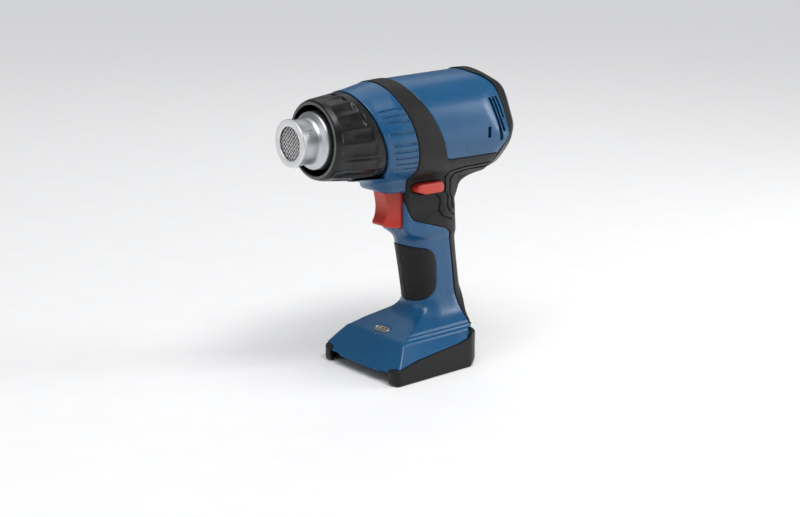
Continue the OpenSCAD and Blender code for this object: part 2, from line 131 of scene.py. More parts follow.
class Plate:
    """Signed distance to a flat outline, kept as a table."""

    def __init__(self, points, r=1.0, step=0.25, pad=8.0):
        pts = fillet(points, r) if r else np.array(points, float)
        self.lo = pts.min(0) - pad
        self.n = np.ceil((pts.max(0) + pad - self.lo) / step).astype(int) + 1
        self.step = step
        u, v = np.meshgrid(*[self.lo[k] + step * np.arange(self.n[k]) for k in (0, 1)], indexing="ij")
        self.table = outline_distance(pts, u, v).astype(np.float32)

    def __call__(self, u, v):
        fu, fv = (u - self.lo[0]) / self.step, (v - self.lo[1]) / self.step
        cu, cv = np.clip(fu, 0, self.n[0] - 1.01), np.clip(fv, 0, self.n[1] - 1.01)
        i, j = cu.astype(int), cv.astype(int)
        a, b = cu - i, cv - j
        t = self.table
        d = (t[i, j] * (1 - a) + t[i + 1, j] * a) * (1 - b)
        d = d + (t[i, j + 1] * (1 - a) + t[i + 1, j + 1] * a) * b
        return d + self.step * (np.abs(fu - cu) + np.abs(fv - cv))


def smooth_line(points, width, lo=-100.0, hi=100.0, step=0.25):
    """A piecewise line as a function, with its corners rounded over the given width."""
    pts = np.array(sorted(points), float)
    x = np.arange(lo, hi, step)
    y = np.interp(x, pts[:, 0], pts[:, 1])
    n = max(int(width / step), 1)
    kernel = np.hanning(2 * n + 3)[1:-1]
    kernel /= kernel.sum()
    y = np.convolve(np.pad(y, n, mode="edge"), kernel, mode="valid")
    return lambda v: np.interp(v, x, y)


# ---------------------------------------------------------------- meshing

def gradient(f, p, h=0.05):
    g = np.empty_like(p)
    for k in range(3):
        e = np.zeros(3)
        e[k] = h
        g[:, k] = (f(*(p + e).T) - f(*(p - e).T)) / (2 * h)
    return g


def contour(f, lo, hi, cell):
    """Vertices, quads and normals of the surface f = 0 inside a box."""
    block = 4
    nb = np.ceil((np.array(hi, float) - lo) / (cell * block)).astype(int)
    lo = np.array(lo, float)
    centre = [lo[k] + cell * block * (np.arange(nb[k]) + 0.5 - 0.5 / block) for k in range(3)]
    cx, cy, cz = (a.ravel() for a in np.meshgrid(*centre, indexing="ij"))
    parts = max(1, len(cx) // 200000)
    dc = np.concatenate([f(*c) for c in zip(*(np.array_split(a, parts) for a in (cx, cy, cz)))])
    field = np.repeat(np.repeat(np.repeat(dc.reshape(nb).astype(np.float32), block, 0), block, 1), block, 2)
    near = np.argwhere(np.abs(dc.reshape(nb)) < cell * block * 1.9 + 0.4)
    off = np.stack(np.meshgrid(*[np.arange(block)] * 3, indexing="ij"), -1).reshape(-1, 3)
    for part in np.array_split(near, max(1, len(near) // 6000)):
        at = (part[:, None, :] * block + off[None]).reshape(-1, 3)
        field[at[:, 0], at[:, 1], at[:, 2]] = f(*(lo + cell * at).T)
    field[[0, -1]] = field[:, [0, -1]] = field[:, :, [0, -1]] = 5.0
    s = field < 0
    corners = [(i, j, k) for i in (0, 1) for j in (0, 1) for k in (0, 1)]
    n = np.array(s.shape) - 1
    count = sum(s[i:n[0] + i, j:n[1] + j, k:n[2] + k].astype(np.int8) for i, j, k in corners)
    cells = np.argwhere((count > 0) & (count < 8))
    index = np.full(n, -1, int)
    index[tuple(cells.T)] = np.arange(len(cells))
    total, hits = np.zeros((len(cells), 3)), np.zeros(len(cells))
    for a in corners:
        for axis in range(3):
            if a[axis]:
                continue
            b = list(a)
            b[axis] = 1
            va = field[tuple((cells + a).T)]
            vb = field[tuple((cells + b).T)]
            cut = (va < 0) != (vb < 0)
            t = np.where(cut, va / np.where(cut, va - vb, 1), 0)
            p = np.array(a, float)[None] + t[:, None] * np.eye(3)[axis]
            total += np.where(cut[:, None], p, 0)
            hits += cut
    v = lo + cell * (cells + total / hits[:, None])
    home = v.copy()
    for _ in range(3):
        d = f(*v.T)
        g = gradient(f, v)
        step = -(d / np.maximum((g * g).sum(1), 0.05))[:, None] * g
        v = v + np.clip(step, -0.5 * cell, 0.5 * cell)
        v = home + np.clip(v - home, -0.8 * cell, 0.8 * cell)
    quads = []
    for axis in range(3):
        e = np.eye(3, dtype=int)[axis]
        o1, o2 = np.eye(3, dtype=int)[(axis + 1) % 3], np.eye(3, dtype=int)[(axis + 2) % 3]
        a = s[: n[0] + 1 - e[0], : n[1] + 1 - e[1], : n[2] + 1 - e[2]]
        b = s[e[0]:, e[1]:, e[2]:]
        at = np.argwhere(a != b)
        at = at[np.all(at >= o1 + o2, 1) & np.all(at < n, 1)]
        inside = a[tuple(at.T)]
        ring = np.stack([index[tuple((at - o).T)] for o in (0 * e, o1, o1 + o2, o2)], 1)
        quads.append(np.where(inside[:, None], ring, ring[:, ::-1]))
    quads = np.concatenate(quads)
    quads = quads[(quads >= 0).all(1)]
    g = gradient(f, v, 0.08)
    return v, quads, g / (np.linalg.norm(g, axis=1, keepdims=True) + 1e-9)


def build(name, verts, faces, normals=None):
    """A mesh object from millimetre vertices and equal-sized faces."""
    mesh = bpy.data.meshes.new(name)
    faces = np.asarray(faces)
    sides = faces.shape[1]
    mesh.vertices.add(len(verts))
    mesh.vertices.foreach_set("co", (np.asarray(verts) / MM).ravel())
    mesh.loops.add(faces.size)
    mesh.loops.foreach_set("vertex_index", faces.ravel())
    mesh.polygons.add(len(faces))
    mesh.polygons.foreach_set("loop_start", np.arange(0, faces.size, sides))
    mesh.update(calc_edges=True)
    mesh.validate()
    mesh.polygons.foreach_set("use_smooth", np.ones(len(mesh.polygons), bool))
    if normals is not None and len(normals) == len(mesh.vertices):
        mesh.normals_split_custom_set_from_vertices(normals)
    obj = bpy.data.objects.new(name, mesh)
    bpy.context.scene.collection.objects.link(obj)
    return obj


def finish_piece(obj, body, material, nodes=()):
    obj.data.materials.clear()
    obj.data.materials.append(material)
    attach(obj, body)
    if nodes:
        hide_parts(*nodes)
    return obj


def solid(name, f, lo, hi, cell, body, material, nodes=()):
    v, q, n = contour(f, lo, hi, cell)
    return finish_piece(build("looks_" + name, v, q, n), body, material, nodes)


# ---------------------------------------------------------------- materials


def shader(name, base, rough, grain=0.0, grain_size=0.0004, metal=0.0, variation=0.08, sheen=0.0,
           coat=0.0, mottle=0.06, scratches=0.0, brushed=None, **sockets):
    """A principled surface with grain, uneven sheen and light handling wear."""
    m = bpy.data.materials.new(name)
    m.use_nodes = True
    nt = m.node_tree
    p = nt.nodes["Principled BSDF"]
    p.inputs["Metallic"].default_value = metal
    p.inputs["Sheen Weight"].default_value = sheen
    p.inputs["Coat Weight"].default_value = coat
    p.inputs["Coat Roughness"].default_value = 0.18
    for key, value in sockets.items():
        p.inputs[key.replace("_", " ")].default_value = value
    tc = nt.nodes.new("ShaderNodeTexCoord")

    def noise(scale, detail=3.0, source=None, rough_noise=0.55):
        n = nt.nodes.new("ShaderNodeTexNoise")
        n.inputs["Scale"].default_value = scale
        n.inputs["Detail"].default_value = detail
        n.inputs["Roughness"].default_value = rough_noise
        nt.links.new(source or tc.outputs["Object"], n.inputs["Vector"])
        return n.outputs["Fac"]

    def ramp(source, lo, hi, a, b):
        n = nt.nodes.new("ShaderNodeMapRange")
        for key, value in zip(("From Min", "From Max", "To Min", "To Max"), (lo, hi, a, b)):
            n.inputs[key].default_value = value
        nt.links.new(source, n.inputs["Value"])
        return n.outputs["Result"]

    patches = noise(38.0, 4.0)
    smudge = noise(110.0, 5.0)
    mix = nt.nodes.new("ShaderNodeMix")
    mix.data_type = "RGBA"
    dark = [c * (1 - mottle) for c in base[:3]] + [1]
    light = [min(1, c * (1 + mottle) + 0.002) for c in base[:3]] + [1]
    mix.inputs["A"].default_value = dark
    mix.inputs["B"].default_value = light
    nt.links.new(ramp(patches, 0.3, 0.7, 0, 1), mix.inputs["Factor"])
    nt.links.new(mix.outputs["Result"], p.inputs["Base Color"])
    rough_value = ramp(smudge, 0.3, 0.75, rough - variation, rough + variation)
    if scratches:
        mapping = nt.nodes.new("ShaderNodeMapping")
        mapping.inputs["Scale"].default_value = (60, 900, 900)
        mapping.inputs["Rotation"].default_value = (0.3, 0.5, 0.2)
        nt.links.new(tc.outputs["Object"], mapping.inputs["Vector"])
        lines = ramp(noise(1.6, 2.0, mapping.outputs["Vector"]), 0.66, 0.74, 0, scratches)
        add = nt.nodes.new("ShaderNodeMath")
        nt.links.new(rough_value, add.inputs[0])
        nt.links.new(lines, add.inputs[1])
        rough_value = add.outputs["Value"]
    nt.links.new(rough_value, p.inputs["Roughness"])
    height = None
    if grain:
        cellular = nt.nodes.new("ShaderNodeTexVoronoi")
        cellular.inputs["Scale"].default_value = 1 / grain_size
        nt.links.new(tc.outputs["Object"], cellular.inputs["Vector"])
        height = cellular.outputs["Distance"]
    if brushed:
        mapping = nt.nodes.new("ShaderNodeMapping")
        mapping.inputs["Scale"].default_value = brushed
        nt.links.new(tc.outputs["Object"], mapping.inputs["Vector"])
        height = noise(1.0, 3.0, mapping.outputs["Vector"], 0.7)
    bump = nt.nodes.new("ShaderNodeBump")
    bump.inputs["Strength"].default_value = grain or 0.12
    bump.inputs["Distance"].default_value = 0.00008
    nt.links.new(height or noise(900.0, 3.0), bump.inputs["Height"])
    nt.links.new(bump.outputs["Normal"], p.inputs["Normal"])
    return m


BLUE = shader("blue_nylon", (0.0035, 0.072, 0.180), 0.32, grain=0.10, grain_size=0.00045, variation=0.05,
              coat=0.08, mottle=0.05, scratches=0.06)
SOFT = shader("soft_grip", (0.0050, 0.0047, 0.0050), 0.54, grain=0.30, grain_size=0.00055, variation=0.07,
              sheen=0.03, mottle=0.14, Specular_IOR_Level=0.28)
BLACK = shader("black_nylon", (0.0048, 0.0050, 0.0056), 0.38, grain=0.20, grain_size=0.0005, variation=0.07,
               mottle=0.12, scratches=0.08, Specular_IOR_Level=0.30)
RESIN = shader("heat_resin", (0.0040, 0.0040, 0.0044), 0.32, grain=0.08, grain_size=0.0005, variation=0.06,
               coat=0.0, mottle=0.1, scratches=0.06, Specular_IOR_Level=0.36)
# A lighter grey for the rim of the sleeve's mouth: a painted highlight where the rounded lip catches the
# light
PAINTED_HIGHLIGHT_RESIN = shader("lip_painted_highlight", (0.10, 0.10, 0.105), 0.22, variation=0.04, mottle=0.1)
RED = shader("red_abs", (0.50, 0.030, 0.014), 0.40, grain=0.08, grain_size=0.0004, variation=0.05, coat=0.1,
             mottle=0.05, scratches=0.05)
STEEL = shader("spun_steel", (0.56, 0.58, 0.60), 0.42, metal=1.0, variation=0.05, mottle=0.05,
               brushed=(5200, 260, 260), scratches=0.06)
# A whiter copy of the nozzle's steel for the face of its lip: a painted highlight where the face takes the
# light; the cross brushing is the metal's own
PAINTED_HIGHLIGHT_STEEL = shader("nozzle_lip_painted_highlight", (0.86, 0.86, 0.87), 0.50, metal=0.85, variation=0.05, mottle=0.03,
                   brushed=(900, 2600, 2600))
# Near-black steel for the nozzle's bore behind the mesh: painted shade inside the tube, with uneven tone
PAINTED_SHADE_STEEL = shader("bore_painted_shade_steel", (0.09, 0.075, 0.065), 0.5, metal=0.8, variation=0.06, mottle=0.3,
                brushed=(5200, 260, 260))
MESH_STEEL = shader("mesh_wire", (0.80, 0.80, 0.80), 0.45, metal=0.6, variation=0.06, mottle=0.1)
DARK = shader("dark_nylon", (0.020, 0.020, 0.022), 0.5, grain=0.2, grain_size=0.0005, mottle=0.12)
LENS = shader("lens", (0.95, 0.93, 0.88), 0.06, variation=0.02, mottle=0.02, Transmission_Weight=0.9,
              IOR=1.49)
BEZEL = shader("lens_reflector", (0.70, 0.62, 0.52), 0.25, metal=1.0, variation=0.05, mottle=0.05)
GREEN = shader("circuit_board", (0.010, 0.11, 0.03), 0.3, variation=0.05, coat=0.4)
COPPER = shader("copper", (0.72, 0.36, 0.18), 0.32, metal=1.0, variation=0.08, mottle=0.12)
BRONZE = shader("contact_alloy", (0.80, 0.56, 0.28), 0.3, metal=1.0, variation=0.08, mottle=0.08)
GROUND = shader("ground_steel", (0.66, 0.67, 0.69), 0.18, metal=1.0, variation=0.05,
                brushed=(240, 4200, 4200))
SCREW = shader("black_screw", (0.09, 0.09, 0.10), 0.36, metal=1.0, variation=0.08, mottle=0.15)
MICA = shader("mica", (0.52, 0.42, 0.26), 0.4, variation=0.1, mottle=0.2)
CERAMIC = shader("ceramic", (0.78, 0.75, 0.68), 0.6, grain=0.15, grain_size=0.0006, mottle=0.05)
WIRE = shader("heat_wire", (0.30, 0.24, 0.20), 0.45, metal=1.0, variation=0.08, mottle=0.2)
GREY = shader("grey_nylon", (0.11, 0.115, 0.125), 0.45, grain=0.15, grain_size=0.0005)
WHITE = shader("acetal", (0.78, 0.78, 0.74), 0.35, variation=0.05, mottle=0.03)
LEAD = shader("silicone_lead", (0.45, 0.03, 0.02), 0.45, variation=0.06)
BRAID = shader("braided_sleeve", (0.70, 0.67, 0.58), 0.75, grain=0.4, grain_size=0.0004, mottle=0.1)

# ---------------------------------------------------------------- outer form

# Slanted seams: X on the centre line, and X per unit of Z
SEAM_SLEEVE, SEAM_COLLAR = (33.3, 0.365), (11.3, 0.33)

barrel_radius = smooth_line(
    [(60, 26.4), (44, 27.6), (36, 28.6), (30, 29.8), (22, 31.4), (12, 31.9), (0, 32.3),
     (-52, BARREL), (-72, BARREL)], 2.0)
neck_plate = Plate([(33, 131), (29, 126), (25.5, 121), (22, 117.6), (15, 116.3), (5, 116.3), (5, 91.5),
                    (0.5, 87), (-50, 87), (-50, 140), (33, 140)], 2.5)
web_plate = Plate([(-34, 108), (-40.5, 109), (-44.5, 115), (-51, 122), (-64, 130), (-64, 140),
                   (-34, 140)], 4.0)
grip_radius = smooth_line([(-40, 15.0), (-26, 14.4), (-12, 14.1), (4, 14.2), (16, 14.5), (27, 15.0),
                           (40, 15.2)], 4.0)
foot_plan = Plate([(33, -FOOT + 3), (33, FOOT - 3), (30.5, FOOT), (-31, FOOT), (-36.5, FOOT - 2.5),
                   (-39.5, FOOT - 8),
                   (-42, 14), (-42.5, 0), (-42, -14), (-39.5, -FOOT + 8), (-36.5, -FOOT + 2.5), (-31, -FOOT),
                   (30.5, -FOOT)], 2.0)
roof_side = smooth_line([(0, 40), (14.2, 34.4), (24.6, 26.9), (25.2, 25.6), (26.6, 24.9), (27.1, 23.8),
                         (28.9, 22.9), (29.4, 21.9), (60, 21.9)], 0.35)
guard_top = smooth_line([(33.5, 9.5), (13.2, 14.0), (-20.6, 17.6), (-29.3, 19.1), (-33.0, 22.8),
                         (-46, 22.8)], 0.8)


def seam(s, x, z):
    """Distance in front of a slanted seam."""
    return (x - s[0] - s[1] * (z - AXIS)) / math.hypot(1, s[1])


FLATS = [(math.sin(math.radians(a)), math.cos(math.radians(a)), reach)
         for a, reach in ((72.6, 27.0), (22.8, 24.6), (-39.5, 28.2))]
flat_reach = smooth_line([(-100, -24.7), (-74, 0), (80, 69.3)], 2.0)


def taper(x, y, z):
    """Flats that draw in the rear end, softened where they meet."""
    ay, dz, reach = np.sqrt(y * y + 0.5), z - AXIS, flat_reach(x)
    a, b, c = (dz * sz + ay * sy - limit for sz, sy, limit in FLATS)
    return (smax(smax(a, b, 3.0), c, 3.0) - reach) * 0.9


def barrel(x, y, z):
    d = np.hypot(y, z - AXIS) - barrel_radius(x)
    d = smax(d, taper(x, y, z), 4.0)
    return smax(smax(d, x - 47, 1.0), -67.5 - x, 1.0)


def neck(x, y, z):
    t = np.clip((x + 24.7) / 38.7, 0, 1)
    d = np.hypot(x + 24.7 - 38.7 * t, y) - 15.8 + 2.4 * t
    return smax(d, neck_plate(x, z), 3.0)


def web(x, y, z):
    return smax(np.abs(y) - 10, web_plate(x, z), 6.0)


LEAN = math.radians(8.7)


def handle(x, y, z):
    u = (x + 25.5) * math.cos(LEAN) - (z - 60) * math.sin(LEAN)
    w = (x + 25.5) * math.sin(LEAN) + (z - 60) * math.cos(LEAN)
    flat = smax(np.abs(u) - 5.9, 0 * u, 3.0)
    d = np.hypot(flat, y) - grip_radius(w)
    return smax(smax(d, w - 38, 2.0), -36 - w, 2.0)


def foot(x, y, z):
    ay = np.abs(y)
    front = (x - 33) * 0.7636 + (z - 7) * 0.6457
    roof = (x - 19.3) * 0.362 + (z - 23.2) * 0.932
    shoulder = 21.9 - (21.9 - guard_top(x)) * (ay - 29.4) / (FOOT - 29.4)
    side = (z - np.where(ay < 29.4, roof_side(ay), shoulder)) * 0.76
    d = smax(smax(front, roof, 1.0), side, 0.9)
    return smax(d, foot_plan(x, y), 1.0)


def outer(x, y, z):
    head = smin(smin(barrel(x, y, z), neck(x, y, z), 3.0), web(x, y, z), 8.0)
    return smin(smin(head, handle(x, y, z), 7.0), foot(x, y, z), 9.0)


# ---------------------------------------------------------------- regions

cap_plate = Plate([(-48.8, 196), (-49.5, 187), (-57, 184.5), (-62.6, 176), (-66.4, 164), (-66.8, 148),
                   (-62.6, 141),
                   (-61, 136), (-61, 112), (-94, 112), (-94, 196)], 3.0)
grip_plate = Plate([(27.5, 203), (3.4, 130), (4.6, 123), (5, 112), (3.3, 105.4), (0.9, 99.9), (-1.6, 97.3),
                    (-27, 89.1), (-30.8, 85.5), (-34.4, 65), (-36.8, 44.5), (-39.6, 33), (-39.4, 22.8),
                    (-64, 22.8), (-64, 112), (-60.9, 115), (-60.9, 136), (-17.1, 136), (17.1, 203)], 3.0)
pad_plate = Plate([(12, 83.5), (-3.6, 78.5), (-13, 77), (-18, 73.5), (-20.5, 66), (-20.8, 50), (-16, 44.5),
                   (-10, 41.5), (0, 40.5), (12, 40.5)], 3.0)
guard_plate = Plate([(31, 0), (33.5, 3), (33.5, 9.5), (13.2, 14), (-20.6, 17.6), (-29.3, 19.1), (-33, 22.8),
                     (-46, 22.8), (-46, 8), (-38, 4.9), (-34, 2.2), (-30.5, 0)], 0.8)
lock_points = [(0.1, 119), (-2.3, 120.9), (-20.6, 120.9), (-22.2, 118.8), (-22.2, 115.2), (-20.6, 113.9),
               (-7.3, 113.9), (0.1, 116.4)]
lock_plate = Plate(lock_points, 0.9)
trigger_window = Plate([(-10, 92.0), (10, 92.0), (10, 116.2), (-10, 116.2)], 2.2)
SLOT_LINES = [
    [(-52, 172), (-54, 163.3), (-57, 153.3), (-59.6, 144.4)],
    [(-55.6, 172), (-57.6, 163), (-60, 154.5), (-61.6, 150)],
    [(-59.2, 172), (-61.4, 164.8), (-63, 158)], [(-47.5, 154.3), (-48.4, 147.1)]]
SLOTS = [Plate([(x - 1.2, z) for x, z in line] + [(x + 1.2, z) for x, z in line[::-1]], 0.6)
         for line in SLOT_LINES]
# X, Z and depth of the head below the middle plane
SCREWS = [(-34.6, 104, 8), (-22.6, 42, 8), (18.5, 131, 14), (24, 177.5, 13), (-57.5, 132.5, 18),
          (-50, 178, 16)]
BOSS_R, HEAD_R, SHANK_R, SHANK_IN = 4.3, 3.1, 1.55, 9.5


def groove_line(points, u, v):
    d = np.full(u.shape, 1e9)
    for a, b in zip(points[:-1], points[1:]):
        e = np.array(b, float) - a
        t = np.clip(((u - a[0]) * e[0] + (v - a[1]) * e[1]) / (e @ e), 0, 1)
        d = np.minimum(d, np.hypot(u - a[0] - e[0] * t, v - a[1] - e[1] * t))
    return d


# Steps moulded into the soft skin behind the lock slider
CONTOURS = [
    [(-17.5, 112.8), (-21.5, 109.5), (-21.7, 106), (-20.2, 102), (-22.5, 97.5), (-31, 94.5)],
    [(-58, 129.6), (-36, 128.8), (-28, 126.8), (-25.6, 122), (-25.8, 113), (-28.6, 109.5), (-28, 103),
     (-29.5, 99),
     (-35, 96.5)],
    [(-60, 126.6), (-44, 126), (-34.5, 124), (-31, 120), (-30.6, 111), (-33.6, 107.5), (-33.2, 102),
     (-37, 99)],
]


RIB_ANGLES = (34, 26, 19, 6, -7, -15, -23, -31, -39)


def ribs(x, y, z):
    """Grooves of the finger panel on each side of the collar."""
    angle = np.degrees(np.arctan2(z - AXIS, np.abs(y)))
    arc = np.min([np.abs(angle - a) for a in RIB_ANGLES], 0) / 57.3 * 31.5 - 0.75
    ends = np.maximum(seam(SEAM_SLEEVE, x, z) + 3.5, 1.2 - seam(SEAM_COLLAR, x, z))
    return smax(arc, ends, 0.5)


# Work light in the foot's roof: its place, and the slope of the roof
LED_X, LED_Z, LED_TILT = 13, 25.6, math.radians(20)


def led_oval(x, y, z, rx, ry):
    """Distance to the light's oval, and the height above it."""
    u = (x - LED_X) * math.cos(LED_TILT) - (z - LED_Z) * math.sin(LED_TILT)
    w = (x - LED_X) * math.sin(LED_TILT) + (z - LED_Z) * math.cos(LED_TILT)
    dy = np.maximum(np.abs(y) - (ry - rx), 0)
    return np.hypot(u, dy) - rx, w


def low_edge(x, y, z):
    """The shells' lower edge, a little lower under the middle of the front."""
    drop = 1.2 * np.clip((20.5 - np.abs(y)) / 1.0, 0, 1) * np.clip((x - 24) / 2, 0, 1)
    return 7.4 - drop - z


sleeve_outer = smooth_line([(70, 22.2), (66.6, 22.2), (65.6, 23.5), (64.3, 24.3), (62, 24.95),
                            (50.4, 26.4), (42.8, 27.2), (34, 27.7), (18, 28.3)], 0.45)


def housing(side):
    def f(x, y, z):
        o = outer(x, y, z)
        d = np.maximum(o, low_edge(x, y, z))
        boss = np.full(x.shape, 1e9)
        for sx, sz, _ in SCREWS:
            boss = np.minimum(boss, np.hypot(x - sx, z - sz) - BOSS_R)
        cavity = smax(o + WALL, -boss, 0.6)
        d = smax(d, -cavity, 0.5)
        d = smax(d, 0.04 - side * y, 0.15)
        sleeve_room = np.minimum(np.hypot(y, z - AXIS) - sleeve_outer(x) - 0.3, 128 - z)
        d = smax(d, -np.maximum(-seam(SEAM_SLEEVE, x, z), sleeve_room), 0.6)
        d = smax(d, -cap_plate(x, z), 0.5)
        skin = np.minimum(grip_plate(x, z), pad_plate(x, z)) - GAP
        d = smax(d, -smax(skin, -(o + INLAY), 0.3), 0.5)
        d = smax(d, -smax(ribs(x, y, z), -(o + 0.8), 0.3), 0.5)
        guard = np.maximum(guard_plate(x, z) - GAP, -(foot_plan(x, y) + 3.35))
        guard = np.maximum(guard, -np.maximum(20 - x, np.abs(y) - 29.35))
        d = smax(d, -guard, 0.7)
        d = smax(d, -smax(trigger_window(y, z) - 0.05, -3 - x, 0.4), 0.9)
        d = smax(d, -(lock_plate(x, z) - 0.35), 0.5)
        for slot in SLOTS:
            d = smax(d, -slot(x, z), 0.5)
        oval, w = led_oval(x, y, z, 2.75, 6.35)
        dish = oval - 1.9 * np.clip(w / 2.2 + 0.4, 0, 1.2)
        d = smax(d, -np.maximum(dish, -6 - w), 0.5)
        for sx, sz, depth in SCREWS:
            r = np.hypot(x - sx, z - sz)
            d = np.maximum(d, -np.maximum(r - SHANK_R, y - SHANK_IN))
            d = smax(d, -np.maximum(r - HEAD_R, depth + y), 0.4)
        return d
    return f


def skin_piece(plate, side):
    def f(x, y, z):
        o = outer(x, y, z)
        marks = np.minimum.reduce([groove_line(c, x, z) for c in CONTOURS]) - 0.45
        top = smax(o - PROUD, -smax(marks, -(o + 0.35), 0.3), 0.5)
        d = smax(top, -(o + INLAY - 0.06), 0.4)
        d = smax(d, plate(x, z), 0.9)
        d = smax(d, 0.06 - side * y, 0.4)
        d = smax(d, cap_clear(x, y, z), 0.3)
        d = smax(d, -(lock_plate(x, z) - 0.4), 0.6)
        d = smax(d, -np.maximum(trigger_window(y, z) - 0.1, -3 - x), 0.6)
        if side < 0:
            for sx, sz, _ in SCREWS:
                d = smax(d, -(np.hypot(x - sx, z - sz) - HEAD_R), 0.4)
        return d
    return f


def cap_clear(x, y, z):
    return -(cap_plate(x, z) - 0.1)


LIP_R = BARREL + 0.7
cap_outer = smooth_line([(-40, LIP_R), (-58, LIP_R), (-70, LIP_R - 3), (TAIL + 1, LIP_R - 13.8),
                         (TAIL - 0.2, LIP_R - 15.4),
                         (TAIL - 12, LIP_R - 15.4)], 0.7)
cap_inner = smooth_line([(-40, 32.0), (-58, 32.0), (-69, 28.8), (TAIL + 2.2, 17.8), (TAIL - 10, 17.8)], 0.5)


def rear_cap(x, y, z):
    r = np.hypot(y, z - AXIS)
    flats = taper(x, y, z)
    shape = smax((r - cap_outer(x)) * 0.85, flats - 0.4, 1.6)
    d = smax(shape, TAIL - x, 1.4)
    hollow = smax(smax((r - cap_inner(x)) * 0.85, flats + 2.4, 1.0), TAIL + 2.2 - x, 0.6)
    d = smax(d, -hollow, 0.4)
    d = smax(d, cap_plate(x, z) + 0.1, 0.7)
    for k in range(-2, 3):
        vent = smax(np.abs(z - AXIS - 5 * k) - 1, np.abs(y) - 10 + abs(k), 0.8)
        d = smax(d, -smax(vent, x - TAIL - 7, 0.3), 0.6)
    return d


def guard(side):
    def f(x, y, z):
        plan = foot_plan(x, y)
        d = smax(plan, -(plan + 3.2), 0.5)
        d = smax(d, guard_plate(x, z), 0.9)
        d = smax(d, -np.maximum(20 - x, np.abs(y) - 29.5), 0.4)
        return smax(d, 0.06 - side * y, 0.35)
    return f


trigger_side = Plate([(15.8, 116.1), (14.8, 113.6), (13.6, 109), (13.1, 105.5), (13.6, 101.5),
                      (15.2, 98.2), (16.6, 96.4), (16.2, 94.6), (12, 93.3), (5, 92.4), (-0.2, 92.4),
                      (-0.2, 115.9), (9, 115.9)], 1.1, pad=6)
# X at which the chamfer beside the finger face ends, by height
trigger_edge = smooth_line([(90, 7.4), (93.7, 6.8), (98, 4.6), (103.4, 4.0), (109, 4.4), (114.4, 6.2),
                            (118, 7.4)], 2.0)


def trigger(x, y, z):
    front = trigger_edge(z)
    ay = np.abs(y)
    chamfer = ((x - front) * 3.2 + (ay - 9.6) * 8.9) / 9.46
    d = smax(trigger_side(x, z), ay - 9.6, 0.8)
    d = smax(d, chamfer, 0.7)
    d = smax(d, -0.2 - x, 0.3)
    low, high = 92.6, 115.6
    plate = np.maximum(np.maximum(np.abs(x - 0.65) - 0.85, ay - 10.8), np.maximum(low - z, z - high))
    return np.minimum(d, plate)


lock_lo, lock_hi = box_mm("lock_slider")


def lock_slider(x, y, z):
    d = smax(lock_plate(x, z), np.maximum(lock_lo[1] - y, y - lock_hi[1]), 1.4)
    notch = np.maximum(np.maximum(-11.2 - y, y - 16.2), z - 116.0)
    return smax(d, -notch, 0.4)


# ---------------------------------------------------------------- pieces

REACH = 40.0    # half width of the space that is searched
OVER = 1.5      # how far the search runs past the middle plane
for side, word in ((1, "left"), (-1, "right")):
    ys = (-OVER, REACH) if side > 0 else (-REACH, OVER)
    solid("housing_" + word, housing(side), (-68, ys[0], 3), (50, ys[1], 191), CELL, "housing", BLUE,
          ["housing_" + word])
    solid("grip_" + word, skin_piece(grip_plate, side), (-68, ys[0], 20), (32, ys[1], 191), CELL,
          "housing", SOFT, ["grip_" + word])
    solid("front_pad_" + word, skin_piece(pad_plate, side), (-24, ys[0] if side < 0 else -OVER, 38),
          (6, OVER if side < 0 else 18, 84), 0.7, "housing", SOFT, ["front_pad_" + word])
    solid("guard_" + word, guard(side), (-45, ys[0], -2), (36, ys[1], 25), 0.7, "housing", BLACK,
          ["guard_" + word])

solid("rear_cap", rear_cap, (TAIL - 2, -38, 115), (-44, 38, 192), CELL, "housing", BLACK,
      ["rear_cap"])
solid("trigger", trigger, (-3, -12.5, 90), (20, 12.5, 119), FINE, "trigger_body", RED, ["trigger"])
solid("lock_slider", lock_slider, (-25, lock_lo[1] - 2, 111), (3, lock_hi[1] + 2, 123.5), FINE,
      "lock_body", RED, ["lock_slider"])


FLUTES = 18
FLUTE_FRONT = 62.3   # X where the flutes run out behind the lip
SPIGOT = 25.2        # radius of the sleeve's collar inside the housing
RECESS = 21.2        # radius of the opening round the outlet tube


def sleeve_rings(columns):
    """Rings of the heat sleeve, each an X and a radius for every angle from the top."""
    a = np.linspace(0, 2 * math.pi, columns, endpoint=False)
    lane = a * FLUTES / (2 * math.pi) + 0.5
    middle = np.floor(lane) * 2 * math.pi / FLUTES
    lane = (lane % 1.0 - 0.5) * 2
    rear = SEAM_SLEEVE[0] + 0.3 + SEAM_SLEEVE[1] * 28 * np.cos(a)
    flute_end = SEAM_SLEEVE[0] + 0.3 + SEAM_SLEEVE[1] * 28 * np.cos(middle) + 5.0

    def radius(x):
        end = np.clip((x - flute_end) / 1.8, 0, 1)
        front = np.clip((FLUTE_FRONT - x) / 9.0, 0, 1)
        scoop = np.clip(1 - (lane / 0.9) ** 2, 0, 1) * end * end * (3 - 2 * end)
        return sleeve_outer(x) - (0.25 + 0.9 * front) * np.clip((FLUTE_FRONT - x) / 0.5, 0, 1) * scoop

    face = sleeve_outer(rear)
    rings = [(np.minimum(28.4, rear - 0.05), SPIGOT), (rear, SPIGOT), (rear, face - 0.7),
             (rear + 0.05, face - 0.4),
             (rear + 0.18, face - 0.18), (rear + 0.4, face - 0.05), (rear + 0.75, sleeve_outer(rear + 0.75))]
    for t in np.linspace(0, 1, 84)[1:]:
        x = rear + 0.75 + (61.5 - rear - 0.75) * t
        rings.append((x, radius(x)))
    rings += [(x, radius(x + 0 * a)) for x in (61.7, 61.9, 62.1, FLUTE_FRONT, 62.6, 63.0, 63.6)]
    rings += [(64.3, 24.3), (65.0, 24.05), (65.6, 23.65), (66.05, 23.15), (66.35, 22.6), (66.45, 22.1),
              (66.35, 21.7), (66.1, 21.4), (65.6, RECESS), (63.9, RECESS), (63.9, 23.4),
              (np.minimum(28.4, rear - 0.05), 23.4)]
    return a, rings


